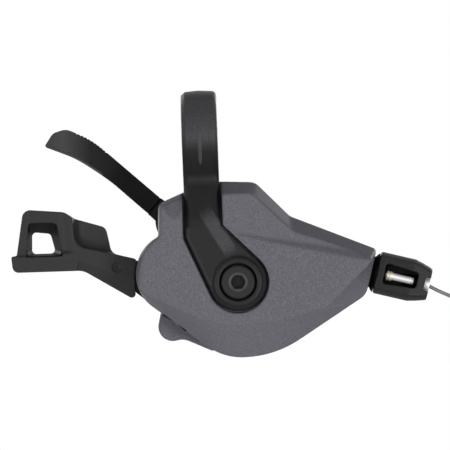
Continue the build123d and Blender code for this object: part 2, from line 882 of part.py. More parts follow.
def main_lever_arm():
    """Steel arm that turns on the axle."""
    face = lever_face()
    face -= disc(axle, axle_radius + bore_gap)
    face -= disc(winding_pivot, pin_radius + press_gap)
    return slab(face, lever_front, lever_back)


def main_lever_pad():
    """Moulded thumb lever with a see-through window, a scoop and a lower flange."""
    face_y = lever_front - lever_skin
    corners = [
        (-70.7, 10.3, 0.6),
        (-70.3, 5.2, 2.0),
        (-48.3, 5.1, 6.0),
        (-27.0, -8.1, 0.5),
        (-27.0, 7.0, 0.5),
        (-39.3, 10.2, 3.0),
        (-40.9, 18.4, 2.5),
        (-50.5, 21.4, 4.0),
        (-53.9, 23.7, 3.5),
        (-66.5, 24.9, 2.6),
        (-69.0, 10.5, 0.4),
    ]
    front_view = outline([(*at_axle(x, z), radius) for x, z, radius in corners])
    front_view -= disc(axle, pad_end_radius)
    front_view = fillet(front_view.vertices().sort_by_distance((*axle, 0))[:2], pad_end_round)
    root_back = lever_back + lever_skin
    pad_back = face_y + pad_depth
    top_view = outline(
        [
            (axle_x - pad_reach, face_y, 0),
            (axle_x, face_y, 0),
            (axle_x, root_back, 0),
            (axle_x - pad_bend_start, root_back, pad_bend),
            (axle_x - pad_bend_end, pad_back - pad_slope, pad_bend),
            (axle_x - pad_reach, pad_back, 0),
        ]
    )
    pad = slab(front_view, face_y, pad_back + overrun)
    pad &= extrude(top_view, 4 * axle_z, both=True)
    pad -= lever_window(face_y)
    frame = polygon(
        [at_axle(-54.3, 10.2), at_axle(-56.0, 30), at_axle(-pad_reach, 30), at_axle(-pad_reach, 10.4)]
    )
    pad -= slab(frame, face_y, face_y + frame_step)
    pad -= scoop(face_y)
    pad -= lower_chamfer(face_y)
    pad -= slab(disc(mark_place, mark_radius), face_y, face_y + mark_depth)
    pad -= slab(disc(mark_place, mark_dot), face_y, face_y + lever_skin / 2)
    insert = offset(lever_face(), insert_gap)
    return pad - slab(insert, lever_front - insert_gap, lever_back + insert_gap)


def lever_window(face_y):
    """Tapered window through the thumb lever."""
    near = [(-65.1, 21.0), (-55.9, 20.8), (-54.4, 10.1), (-66.0, 10.1)]
    far = [(-64.2, 17.5), (-58.7, 16.8), (-57.2, 10.9), (-64.4, 10.9)]
    near_face = outline([(*at_axle(x, z), window_corner) for x, z in near])
    far_face = outline([(*at_axle(x, z), window_corner) for x, z in far])
    return loft([front(face_y) * near_face, front(face_y + pad_depth) * far_face], ruled=True)


def scoop(face_y):
    """Hollow under the thumb, with a rounded bottom."""
    corners = [(-51.6, 30.0), (-50.6, 12.9), (-34.0, 8.9), (-30.0, 30.0)]
    face = outline([(*at_axle(x, z), scoop_round + window_corner) for x, z in corners])
    hollow = slab(face, face_y - overrun, face_y + scoop_depth)
    return fillet(hollow.edges().group_by(Axis.Y)[-1], scoop_round)


def lower_chamfer(face_y):
    """Sloped face along the lower edge of the thumb lever's arm."""
    turn = math.radians(chamfer_angle)
    plane = Plane(
        origin=(chamfer_place[0], face_y, chamfer_place[1]),
        x_dir=(math.sin(turn), 0, -math.cos(turn)),
        z_dir=(math.cos(turn), 0, math.sin(turn)),
    )
    far = pad_end_radius
    profile = polygon([(0, 0), (far, chamfer_slope * far), (far, -far), (0, -far)])
    return extrude(plane * profile, far)


def winding_pawl_pin():
    """Pin of the winding pawl, riveted in the steel arm."""
    return slab(disc(winding_pivot, pin_radius), winding_front + run_gap, lever_back)


def pawl_face(pivot, nose, width, back=None):
    """Front view of a pawl from its pivot to its nose, with a tail if given."""
    face = make_hull((disc(pivot, pawl_hub) + disc(nose, width)).edges())
    if back:
        face += make_hull((disc(pivot, pawl_hub) + disc(back, width)).edges())
    return face - disc(pivot, pin_radius + bore_gap)


def winding_pawl():
    """Pawl on the thumb lever, held clear of the teeth at rest."""
    nose = polar(winding_radius + tooth_gap + winding_nose, winding_nose_angle)
    face = pawl_face(winding_pivot, nose, winding_nose)
    return slab(face, winding_front + run_gap, winding_back - run_gap / 2)


def holding_pawl():
    """Pawl that stops the drum, with a tail for the release lever."""
    nose = polar(holding_radius + tooth_gap + holding_nose, holding_nose_angle)
    face = pawl_face(holding_pivot, nose, holding_nose, holding_tail)
    return slab(face, holding_front + run_gap, winding_front - run_gap)


def holding_pawl_pin():
    """Pin of the holding pawl, standing on the top plate."""
    return slab(disc(holding_pivot, pin_radius), top_front, winding_front - run_gap)


# Release lever


def release_axes(u, v):
    """Front-view point along and across the release lever, from its pivot."""
    turn = math.radians(release_angle)
    return (
        release_pivot[0] + u * math.cos(turn) + v * math.sin(turn),
        release_pivot[1] + u * math.sin(turn) - v * math.cos(turn),
    )


def release_arm_face():
    """Front view of the release lever's steel arm, with its hub and inner finger."""
    stub = cap_root - root_gap
    neck = stub + root_taper
    upper = [(0, 2.3), (stub, 1.7), (neck, 0.5), (36, 0.3), (release_length, -2.2)]
    lower = [(release_length, -5.4), (36, -4.2), (26, -3.0), (neck, -3.4), (stub, -4.7), (0, -5.2)]
    corners = upper + lower
    arm = outline([(*release_axes(u, v), arm_corner) for u, v in corners])
    finger = make_hull((disc(release_pivot, finger_root) + disc(finger_place, finger_tip)).edges())
    return arm + disc(release_pivot, release_hub_radius) + finger


def release_arm_solid(face, gap=0.0):
    """Front-view face bent along the joggle of the release lever."""
    front_y = holding_front + run_gap
    back_y = winding_front - run_gap
    middle = (front_y + back_y) / 2
    outer = middle + release_joggle
    reach = 1.5 * release_length
    corners = [(-reach, middle), (joggle_start, middle), (joggle_end, outer), (reach, outer)]
    path = FilletPolyline(*corners, radius=joggle_bend)
    turn = math.radians(release_angle)
    plane = Plane(
        origin=(release_pivot[0], 0, release_pivot[1]),
        x_dir=(math.cos(turn), 0, math.sin(turn)),
        z_dir=(-math.sin(turn), 0, math.cos(turn)),
    )
    strip = plane * trace(path, back_y - front_y + 2 * gap)
    return extrude(strip, reach, both=True) & slab(face, -reach, reach)


def release_lever_arm():
    """Joggled steel arm of the release lever."""
    face = release_arm_face() - disc(release_pivot, post_radius + bore_gap)
    return release_arm_solid(face)


def release_cap_face():
    """Front view of the release lever's moulding."""
    corners = [
        (cap_root, 1.6, 0.5),
        (38.0, 2.0, 25.0),
        (46.4, -0.5, 4.5),
        (48.7, -4.2, 3.0),
        (48.1, -9.2, 0.7),
        (38.0, -5.7, 30.0),
        (26.0, -4.3, 8.0),
        (cap_root, -4.6, 0.5),
    ]
    return outline([(*release_axes(u, v), radius) for u, v, radius in corners])


def release_lever_cap():
    """Moulding over the release lever, deeper at its end, with grip ribs on its upper edge."""
    face = release_cap_face()
    reach = 2 * release_length
    ends = [(cap_tip, -reach), (cap_tip, reach), (reach, reach), (reach, -reach)]
    front_y = holding_front + run_gap + release_joggle - cap_skin
    end_face = face & polygon([release_axes(u, v) for u, v in ends])
    cap_end = slab(end_face, front_y, front_y + release_cap_depth)
    cap = release_arm_solid(face, cap_skin) + cap_end
    for rib in range(grip_ribs):
        along = rib_start + rib * rib_pitch
        place = release_axes(along, rib_line - rib_curve * (along - rib_crest) ** 2)
        cap -= slab(disc(place, rib_radius), front_y - reach, front_y + reach)
    insert = offset(release_arm_face(), insert_gap)
    return cap - release_arm_solid(insert, insert_gap)


def release_pin():
    """Pivot of the release lever between the plates."""
    return slab(disc(release_pivot, post_radius), top_front, rear_floor)


# Adjuster


def adjuster_socket():
    """Neck in the nose with a spigot for the knob."""
    inside = nose_end - socket_length
    spigot_end = knob_start + spigot_length
    bore = cable_radius + 2 * cable_gap
    body = about_cable(
        [
            (inside, bore),
            (inside, nose_bore - press_gap),
            (nose_end, nose_bore - press_gap),
            (nose_end, neck_radius),
            (nose_end + neck_straight, neck_radius),
            (nose_end + neck_length, neck_radius + neck_flare),
            (nose_end + neck_length, spigot_radius),
            (spigot_end, spigot_radius),
            (spigot_end, bore),
        ]
    )
    tube_seat = tube_radius + bore_gap
    far = spigot_end + overrun
    return body - about_cable(
        [(inside, 0), (inside, tube_seat), (far, tube_seat), (far, 0)]
    )


def detent_washer():
    """Washer between the neck and the knob."""
    start = nose_end + neck_length
    end = start + washer_thickness
    inner = spigot_radius + bore_gap
    outer = neck_radius + neck_flare
    return about_cable([(start, inner), (start, outer), (end, outer), (end, inner)])


def adjuster_knob():
    """Hollow knob with flats round it, a window in the front flat and a notch at its tip."""
    start = knob_start + run_gap
    end = knob_start + knob_length
    inner_end = end - knob_end_wall
    floor = end - notch_depth
    hole = tube_radius + bore_gap
    flange_room = tube_flange_radius + bore_gap
    knob = about_cable(
        [
            (start, spigot_radius + bore_gap),
            (start, knob_radius - knob_chamfer),
            (start + knob_chamfer, knob_radius),
            (start + knob_straight, knob_radius),
            (start + knob_straight + knob_shoulder, knob_radius - knob_shoulder_drop),
            (end - knob_tip_round, knob_tip_radius + knob_chamfer),
            (end, knob_tip_radius),
            (end, flange_room),
            (floor, flange_room),
            (floor, hole),
            (inner_end, hole),
            (inner_end, knob_bore),
            (start + knob_back_wall, knob_bore),
            (start + knob_back_wall, spigot_radius + bore_gap),
        ]
    )
    near = start + window_start
    far = near + window_length
    narrow = window_half_width - window_taper
    wide = window_half_width
    corners = [(-wide, near), (wide, near), (narrow, far), (-narrow, far)]
    window = outline([(x, y, window_round) for x, y in corners])
    beyond = end + overrun
    far = 2 * knob_radius
    taper = start + knob_straight
    flat_edge = [(knob_flat, 0), (knob_flat, taper), (knob_flat_tip, end), (knob_flat_tip, beyond)]
    flat = polygon(flat_edge + [(far, beyond), (far, 0)])
    for side in range(knob_flats):
        turned = cable_frame * Rot(0, 0, 360 / knob_flats * side - knob_turn)
        knob -= turned * extrude(Plane.XZ * flat, far, both=True)
    knob -= cable_frame * Rot(0, 0, -knob_turn) * extrude(Plane.YZ * window, far)
    notch = polygon(
        [(-flange_room, floor), (flange_room, floor), (flange_room, beyond), (-flange_room, beyond)]
    )
    return knob - cable_frame * extrude(Plane.YZ * notch, 2 * knob_radius, both=True)


def adjuster_tube():
    """Slim tube that carries the cable through the knob, with a flange that keeps the knob on."""
    bore = cable_radius + cable_gap
    start = nose_end
    flange = knob_start + knob_length - notch_depth + run_gap
    return about_cable(
        [
            (start, bore),
            (start, tube_radius),
            (flange, tube_radius),
            (flange, tube_flange_radius),
            (cable_exit, tube_flange_radius),
            (cable_exit, mouth_radius),
            (mouth_start, bore),
        ]
    )


def adjuster_bush():
    """Brass bush with two ridges on the tube."""
    start = knob_start + spigot_length + bush_rest
    inner = tube_radius + bore_gap
    ridge = bush_radius
    valley = bush_valley
    step = bush_length / 4
    profile = [(start, inner)]
    for i in range(2):
        base = start + 2 * i * step
        profile += [(base, ridge), (base + step, ridge), (base + step, valley), (base + 2 * step, valley)]
    profile.append((start + bush_length, inner))
    return about_cable(profile)


# Put-away cable


def cable_route():
    """Front-view points of the free cable, from the tube's mouth to the coil."""
    x, z = along_cable(mouth_start)
    return [(x, z), along_cable(mouth_start + lead_run)] + [(x + dx, z + dz) for dx, dz in droop]


def route_radii(points):
    """Radius at each corner of a route, as large as its runs allow."""
    radii = []
    for before, here, after in zip(points, points[1:], points[2:]):
        first = Vector(*here) - Vector(*before)
        second = Vector(*after) - Vector(*here)
        half_turn = math.radians(first.get_angle(second) / 2)
        radii.append(arc_share * min(first.length, second.length) / math.tan(half_turn))
    return radii


def coil_centre():
    """Front-view centre of the coil, whose outer turn the route's end touches."""
    before, end = [Vector(*point) for point in cable_route()[-2:]]
    along = (end - before).normalized()
    reach = coil_radius + bundle_radius + cable_radius + cable_gap
    return (end.X + along.Y * reach, end.Y - along.X * reach)


def free_cable():
    """Bare cable from the adjuster to the coil."""
    points = cable_route()
    path = front(cable_y) * FilletPolyline(*points, radius=route_radii(points))
    route = path.wire()
    section = Plane(origin=route @ 0, z_dir=route % 0) * Circle(cable_radius)
    return sweep(section, path=route)


def coil_ring(radius, angle):
    """Ring of a round section about the coil's centre."""
    centre = coil_centre()
    section = Pos(coil_radius, 0) * radius
    ring = revolve(Plane.XZ * section, Axis.Z, angle)
    return Location((centre[0], cable_y, centre[1]), (90, 0, 0)) * ring


def cable_coil():
    """Turns of the put-away cable as one ring."""
    return coil_ring(RegularPolygon(bundle_radius, coil_sides), 360)


def coil_tie():
    """Band round the turns of the coil."""
    inner = bundle_radius + bore_gap
    outer = RegularPolygon(inner + tie_thickness, coil_sides)
    return coil_ring(outer - RegularPolygon(inner, coil_sides), tie_width)


def springs():
    """Return springs of the levers and pawls."""
    return {
        "drum_spring": drum_spring(),
        "main_lever_spring": spring_strip(
            hairpin(axle, lever_spring_radius, 100, 250, 5.0, 6.0), lever_back + spring_room / 2
        ),
        "winding_pawl_spring": spring_strip(
            hairpin(winding_pivot, pawl_spring_radius, 200, 200, 2.5, 4.0),
            lever_back + spring_room / 2,
        ),
        "holding_pawl_spring": spring_strip(
            hairpin(holding_pivot, pawl_spring_radius, 270, 200, 4.0, 2.5),
            drum_front - drum_room / 2,
        ),
        "release_lever_spring": spring_strip(
            hairpin(release_pivot, release_spring_radius, -60, 200, 4.0, 4.0),
            holding_front - spring_wire,
        ),
    }


pieces = {
    "clamp_band": clamp_band(),
    "clamp_bolt": clamp_bolt(),
    "main_axle": main_axle(),
    "axle_nut": axle_nut(),
    "axle_clip": axle_clip(),
    "front_cover": front_cover(),
    "rear_cover": rear_cover(),
    "cover_screws": cover_screws(),
    "cable_port_cap": cable_port_cap(),
    "base_plate": base_plate(),
    "top_plate": top_plate(),
    "plate_posts": plate_posts(),
    "lever_spacer": lever_spacer(),
    "cable_drum": cable_drum(),
    "winding_ratchet": winding_ratchet(),
    "holding_ratchet": holding_ratchet(),
    "cable_nipple": cable_nipple(),
    "inner_cable": inner_cable(),
    "main_lever_arm": main_lever_arm(),
    "main_lever_pad": main_lever_pad(),
    "winding_pawl": winding_pawl(),
    "winding_pawl_pin": winding_pawl_pin(),
    "holding_pawl": holding_pawl(),
    "holding_pawl_pin": holding_pawl_pin(),
    "release_lever_arm": release_lever_arm(),
    "release_lever_cap": release_lever_cap(),
    "release_pin": release_pin(),
    "adjuster_socket": adjuster_socket(),
    "detent_washer": detent_washer(),
    "adjuster_knob": adjuster_knob(),
    "adjuster_tube": adjuster_tube(),
    "adjuster_bush": adjuster_bush(),
    "free_cable": free_cable(),
    "cable_coil": cable_coil(),
    "coil_tie": coil_tie(),
    **springs(),
}

os.makedirs("parts", exist_ok=True)
for name, piece in pieces.items():
    export_step(piece, f"parts/{name}.step")
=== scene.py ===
import bpy
import json
import math
from mathutils import Matrix, Vector

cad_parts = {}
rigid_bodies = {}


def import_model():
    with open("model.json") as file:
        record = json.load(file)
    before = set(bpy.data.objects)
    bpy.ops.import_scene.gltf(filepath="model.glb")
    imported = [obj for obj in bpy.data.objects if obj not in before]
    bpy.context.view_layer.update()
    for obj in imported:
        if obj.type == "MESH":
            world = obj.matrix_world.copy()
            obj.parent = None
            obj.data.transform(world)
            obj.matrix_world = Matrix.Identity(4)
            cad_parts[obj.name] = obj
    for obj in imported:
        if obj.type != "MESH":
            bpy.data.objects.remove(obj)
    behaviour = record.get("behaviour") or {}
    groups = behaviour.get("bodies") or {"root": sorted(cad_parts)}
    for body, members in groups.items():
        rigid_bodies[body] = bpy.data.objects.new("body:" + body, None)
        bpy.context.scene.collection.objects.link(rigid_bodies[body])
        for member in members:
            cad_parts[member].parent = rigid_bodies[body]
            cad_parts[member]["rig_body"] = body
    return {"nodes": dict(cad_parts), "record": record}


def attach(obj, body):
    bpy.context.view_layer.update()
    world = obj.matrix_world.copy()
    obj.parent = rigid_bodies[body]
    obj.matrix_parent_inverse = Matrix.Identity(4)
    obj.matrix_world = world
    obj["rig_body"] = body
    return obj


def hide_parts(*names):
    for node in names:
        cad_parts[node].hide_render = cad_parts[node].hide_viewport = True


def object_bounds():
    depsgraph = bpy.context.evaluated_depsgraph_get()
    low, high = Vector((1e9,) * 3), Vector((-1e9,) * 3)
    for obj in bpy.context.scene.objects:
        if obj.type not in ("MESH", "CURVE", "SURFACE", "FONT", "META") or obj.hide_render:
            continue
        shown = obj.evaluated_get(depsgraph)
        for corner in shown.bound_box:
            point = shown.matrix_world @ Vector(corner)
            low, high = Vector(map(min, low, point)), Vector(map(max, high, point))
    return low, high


# Looks of the trigger gear shifter. Its sizes below are in millimetres, and MM turns them to metres.
# The cable's length, the view and the stage are in metres.
# X runs along the bar, Y away from the camera and Z up; the origin is the bar's centre.

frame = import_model()
cad_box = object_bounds()
nodes = frame["nodes"]
MM = 0.001

# View of the photograph
view_centre = Vector((6.9, 0.0, -28.4)) * MM
view_distance = 1.6
view_width = 140.6 * MM
view_tilt = math.radians(2.1)
view_end = 20.0
sensor_width = 36.0     # of the camera, in millimetres

# Moulded and forged pieces: grid of their soft surface, and rounds of smoothing
soft_edges = {
    "clamp_band": (0.3, 3),
    "front_cover": (0.43, 3),
    "rear_cover": (0.4, 4),
    "main_lever_pad": (0.22, 3),
    "release_lever_cap": (0.16, 4),
    "adjuster_knob": (0.18, 3),
}

# Turned and cut pieces: width of the rounding of their edges
edge_rounding = {
    "clamp_bolt": 0.2,
    "axle_nut": 0.25,
    "cover_screws": 0.15,
    "cable_port_cap": 0.2,
    "main_lever_arm": 0.15,
    "release_lever_arm": 0.2,
    "adjuster_socket": 0.2,
    "detent_washer": 0.1,
    "adjuster_tube": 0.1,
    "adjuster_bush": 0.08,
    "coil_tie": 0.15,
}
flat_angle = math.radians(0.6)      # faces that meet at less are joined
sharp_angle = math.radians(28)      # edges that are sharper are rounded
smooth_angle = math.radians(35)     # edges that are sharper stay sharp in the shading
joining_reach = 0.002               # corners that are closer are joined

# Clamp band: rib on its front, whose lighter coat is a painted highlight, as
# (degrees above the view's axis, distance from the bar's centre)
band_rib_route = [
    (14, 12.3),
    (7, 12.75),
    (0, 12.9),
    (-15, 12.9),
    (-30, 12.9),
    (-45, 12.85),
    (-54, 12.3),
]
band_rib_radius = 1.3

# Clamp band: painted highlight patches, each with the places where it begins, is full, is still full
# and ends
strap_highlight = (-6.0, 0.5, 9.5, 12.5)         # heights on the strap
facet_start = (-0.45, -25.9)
facet_end = (6.43, -37.9)
facet_along = (-2.5, 1.5, 11.5, 15.5)       # down the arm's right facet from its start
facet_across = (-0.3, 0.5, 3.8, 4.7)        # from the facet's left edge to the right
highlight_gain = 4.9                             # how much lighter the coat is under the painted highlight

# Clamp bolt: its axis in the front view, and its painted light as radii where the painted shade in
# the socket ends, the ring of painted highlight begins and ends, and the coat begins
bolt_axis = (10.3, -46.2)
bolt_reach = 6.0
bolt_light_radii = (1.98, 2.28, 2.73, 3.15)

# Thumb lever: its face, its window frame's line and depth, and the blends beside and below it
lever_face = 3.2
frame_foot = (-44.0, -36.0)
frame_head = (-45.7, -16.2)
frame_step = 1.2
frame_blend = 4.5
frame_overlap = 0.6
ledge_height = -35.8
ledge_blend = 1.4

# Thumb lever: boxes that hold the walls of its window and of the window's sill, where shade is
# painted, and their soft edge
window_middle = (-50.0, 9.95, -30.8)
window_half = (5.7, 5.4, 5.5)
sill_middle = (-50.0, 9.2, -35.25)
sill_half = (5.75, 6.3, 1.15)
window_fade = 0.96
window_shade = 0.22     # how dark the painted shade makes the walls beside the face

# Release lever: stretch of its face painted lighter towards the tip as painted light, and the bead
# along its lower edge, whose lighter grey is a painted highlight
lit_from = -22.0
lit_to = -47.0
release_bead = [
    (-48.36, -1.46),
    (-43.84, -3.45),
    (-39.01, -5.53),
    (-33.98, -8.9),
    (-29.12, -12.47),
    (-26.84, -14.42),
]
bead_depth = 12.45
bead_radius = 0.42

# Front cover: black bead along its lower rim above the lobe, a painted shadow of the gap between the
# covers
gap_shadow_route = [
    (-13.4, -55.6),
    (-12.2, -56.4),
    (-10.6, -57.3),
    (-9.3, -58.1),
    (-7.7, -59.7),
    (-6.4, -61.0),
]
gap_shadow_depth = -6.2
gap_shadow_radius = 0.24

# Adjuster: pieces of its neck, and the black collar on the tube at the window's outer end; their deep
# black is painted shade inside the knob's window
neck_pieces = ("adjuster_socket", "detent_washer")
collar_place = (65.65, -48.29)
collar_fall = 15.1      # degrees below the X axis
collar_radius = 1.36
collar_wall = 0.2
collar_length = 1.3
collar_sides = 40

# Free cable: the same points as the solid's route
cable_diameter = 1.2
cable_depth = -0.8
cable_length = 1.9
cable_route = [
    (67.114, -48.686),
    (68.466, -49.051),
    (69.914, -49.766),
    (72.414, -51.286),
    (77.614, -53.686),
    (88.214, -58.286),
    (99.114, -62.786),
]
wire_strands = 8
strand_lay = 7.0        # length in which a strand winds once round the cable
coil_radius = 10.8
coil_reach = 15.4       # from the route's end to the coil's centre
coil_turns = 27
coil_lead = 2           # points between the route's end and the first turn
bundle_reach = 3.3      # from the middle of the bundle to the furthest turn
bundle_rows = 3         # rows on each side of the middle one
row_angle = math.radians(60)
crossing = 0.7          # share of a turn after which the cable crosses to its next place
points_per_turn = 16

# Stage: the floor's size and how far it is below the object, its grey and how pale it shows by itself
floor_size = 4.0
floor_drop = 0.42
floor_grey = 0.8
floor_glow = 0.55
world_light = 0.08

# Stage: soft boxes as (place, width, power)
soft_boxes = {
    "left_box": ((-0.74, -1.33, -0.22), 0.4, 8.2),
    "right_box": ((0.74, -1.33, -0.22), 0.4, 11.2),
    "upper_box": ((0.05, -1.45, 0.95), 0.3, 1.3),
    "rear_left_box": ((-0.8, 1.25, 0.3), 0.5, 8.0),
    "rear_right_box": ((0.8, 1.25, 0.3), 0.5, 8.0),
}


def deselect():
    """Nothing selected and no edit mode."""
    if bpy.context.object and bpy.context.object.mode != "OBJECT":
        bpy.ops.object.mode_set(mode="OBJECT")
    bpy.ops.object.select_all(action="DESELECT")


def make_active(piece):
    """Selects one piece alone."""
    deselect()
    piece.select_set(True)
    bpy.context.view_layer.objects.active = piece


def apply_modifiers(piece):
    """Applies every modifier of a piece."""
    make_active(piece)
    for modifier in list(piece.modifiers):
        bpy.ops.object.modifier_apply(modifier=modifier.name)


# Materials


class Finish:
    """A material with its shader and small helpers for its texture nodes."""

    def __init__(self, name, roughness, metallic=0.0, specular=0.5):
        self.material = bpy.data.materials.new(name)
        self.material.use_nodes = True
        self.tree = self.material.node_tree
        self.shader = self.tree.nodes["Principled BSDF"]
        self.shader.inputs["Roughness"].default_value = roughness
        self.shader.inputs["Metallic"].default_value = metallic
        self.shader.inputs["Specular IOR Level"].default_value = specular

    def node(self, kind, **values):
        """Adds a node and sets its inputs by name."""
        made = self.tree.nodes.new(kind)
        for name, value in values.items():
            made.inputs[name.replace("_", " ")].default_value = value
        return made

    def link(self, source, target):
        """Joins an output to an input."""
        self.tree.links.new(source, target)

    def place(self):
        """Object coordinates."""
        return self.node("ShaderNodeTexCoord").outputs["Object"]

    def noise(self, scale, detail=2.0, roughness=0.5):
        """Noise at a scale per metre."""
        made = self.node("ShaderNodeTexNoise", Scale=scale, Detail=detail, Roughness=roughness)
        self.link(self.place(), made.inputs["Vector"])
        return made.outputs["Fac"]

    def ramp(self, source, stops):
        """Colour ramp with (position, colour) stops."""
        made = self.tree.nodes.new("ShaderNodeValToRGB")
        elements = made.color_ramp.elements
        while len(elements) < len(stops):
            elements.new(0.5)
        for element, (position, colour) in zip(elements, stops):
            element.position = position
            element.color = (*colour, 1.0)
        self.link(source, made.inputs["Fac"])
        return made.outputs["Color"]

    def math(self, operation, *values):
        """Result of a math node on outputs and numbers."""
        made = self.tree.nodes.new("ShaderNodeMath")
        made.operation = operation
        for socket, value in zip(made.inputs, values):
            if isinstance(value, bpy.types.NodeSocket):
                self.link(value, socket)
            else:
                socket.default_value = value
        return made.outputs["Value"]

    def vector(self, operation, first, second, result="Vector"):
        """Result of a vector math node on an output and a fixed vector."""
        made = self.tree.nodes.new("ShaderNodeVectorMath")
        made.operation = operation
        made.inputs[1].default_value = second
        self.link(first, made.inputs[0])
        return made.outputs[result]

    def axes(self, source):
        """The three values of a vector, by their names."""
        made = self.tree.nodes.new("ShaderNodeSeparateXYZ")
        self.link(source, made.inputs["Vector"])
        return made.outputs

    def share(self, source, none, full, kind="LINEAR"):
        """0 at one value of an output and 1 at another."""
        made = self.node("ShaderNodeMapRange", From_Min=none, From_Max=full)
        made.interpolation_type = kind
        self.link(source, made.inputs["Value"])
        return made.outputs["Result"]

    def between(self, share, low, high):
        """Value that runs from low to high with a share."""
        made = self.node("ShaderNodeMapRange", To_Min=low, To_Max=high)
        self.link(share, made.inputs["Value"])
        return made.outputs["Result"]

    def within(self, middle, half, fade):
        """1 inside a box in millimetres and 0 outside it."""
        offset = self.vector("SUBTRACT", self.place(), Vector(middle) * MM)
        reach = self.vector("ABSOLUTE", offset, (0, 0, 0))
        parts = self.axes(self.vector("DIVIDE", reach, Vector(half) * MM))
        furthest = self.math("MAXIMUM", parts["X"], parts["Y"])
        furthest = self.math("MAXIMUM", furthest, parts["Z"])
        return self.share(furthest, 1.0, fade)

    def stretch(self, direction, limits):
        """1 on a stretch along a direction, with soft ends, from four places in millimetres."""
        along = self.vector("DOT_PRODUCT", self.place(), direction, "Value")
        start, full_from, full_to, end = [limit * MM for limit in limits]
        rise = self.share(along, start, full_from, "SMOOTHSTEP")
        fall = self.share(along, end, full_to, "SMOOTHSTEP")
        return self.math("MULTIPLY", rise, fall)

    def scaled(self, colour, gain):
        """Colour times a gain."""
        made = self.tree.nodes.new("ShaderNodeVectorMath")
        made.operation = "SCALE"
        self.link(colour, made.inputs[0])
        self.link(gain, made.inputs["Scale"])
        return made.outputs["Vector"]

    def colour(self, source):
        """Sends a colour to the shader."""
        self.link(source, self.shader.inputs["Base Color"])

    def roughen(self, source, low, high):
        """Roughness that varies between two values."""
        self.link(self.between(source, low, high), self.shader.inputs["Roughness"])

    def bump(self, source, strength, height):
        """Fine relief of a height in metres."""
        made = self.node("ShaderNodeBump", Strength=strength, Distance=height)
        self.link(source, made.inputs["Height"])
        self.link(made.outputs["Normal"], self.shader.inputs["Normal"])


def grey(value, blue=0.0):
    """Grey with a share of blue."""
    return (value, value * (1 - 0.3 * blue), value * (1 + blue))


def speckled_cover_paint(name):
    """Purple-grey satin paint with fine metal flakes."""
    finish = Finish(name, 0.5, specular=0.12)
    flakes = finish.noise(2400, 2.0, 0.7)
    dark, plain, bright = [grey(value, 0.12) for value in (0.1, 0.135, 0.19)]
    finish.colour(finish.ramp(flakes, [(0.3, dark), (0.55, plain), (0.75, bright)]))
    finish.roughen(flakes, 0.48, 0.64)
    finish.bump(flakes, 0.25, 0.05 * MM)
    return finish.material


def bolt_coat():
    """Black coat of the bolt, with a ring of painted highlight round its socket and painted shade
    inside it.
    """
    finish = Finish("bolt_coat", 0.42, specular=0.16)
    flat = finish.vector("MULTIPLY", finish.place(), (1, 0, 1))
    centre = (bolt_axis[0] * MM, 0, bolt_axis[1] * MM)
    radius = finish.vector("DISTANCE", flat, centre, "Value")
    # Painted shade in the socket, a ring of painted highlight round it, then the plain coat
    dark, highlight, coat = grey(0.003), grey(0.055), grey(0.016)
    stops = zip([limit / bolt_reach for limit in bolt_light_radii], [dark, highlight, highlight, coat])
    finish.colour(finish.ramp(finish.share(radius, 0.0, bolt_reach * MM), list(stops)))
    finish.bump(finish.noise(2600, 3.0, 0.6), 0.2, 0.02 * MM)
    return finish.material


def satin_plastic(name, dark, light, roughness, grain_scale, grain_height, specular=0.16):
    """Moulded plastic with a fine spark-eroded grain and slight mottling."""
    finish = Finish(name, roughness, specular=specular)
    grain = finish.noise(grain_scale, 3.0, 0.6)
    finish.colour(finish.ramp(grain, [(0.35, grey(dark)), (0.65, grey(light))]))
    finish.roughen(grain, roughness - 0.07, roughness + 0.07)
    finish.bump(grain, 0.3, grain_height * MM)
    return finish.material


def lever_moulding():
    """Grained black moulding, with painted shade on the walls of the lever's window and its sill."""
    finish = Finish("lever_moulding", 0.52)
    grain = finish.noise(2400, 3.0, 0.6)
    face = finish.ramp(grain, [(0.35, grey(0.022)), (0.65, grey(0.028))])
    # Painted shade: the walls of the window and its sill are darker and lose their gloss
    walls = finish.within(window_middle, window_half, window_fade)
    sill = finish.within(sill_middle, sill_half, window_fade)
    inside = finish.math("MAXIMUM", walls, sill)
    finish.colour(finish.scaled(face, finish.between(inside, 1.0, window_shade)))
    finish.link(finish.between(inside, 0.16, 0.01), finish.shader.inputs["Specular IOR Level"])
    finish.roughen(grain, 0.45, 0.59)
    finish.bump(grain, 0.3, 0.05 * MM)
    return finish.material


def release_moulding():
    """Black grained moulding, painted lighter towards the lever's tip as painted light."""
    finish = Finish("release_moulding", 0.46, specular=0.08)
    # Painted light: the coat grows lighter from the root towards the tip
    lit_share = finish.share(finish.axes(finish.place())["X"], lit_from * MM, lit_to * MM)
    stops = [(0.0, grey(0.003)), (0.5, grey(0.012)), (0.85, grey(0.06)), (1.0, grey(0.05))]
    finish.colour(finish.ramp(lit_share, stops))
    finish.bump(finish.noise(2400, 3.0, 0.6), 0.3, 0.05 * MM)
    return finish.material


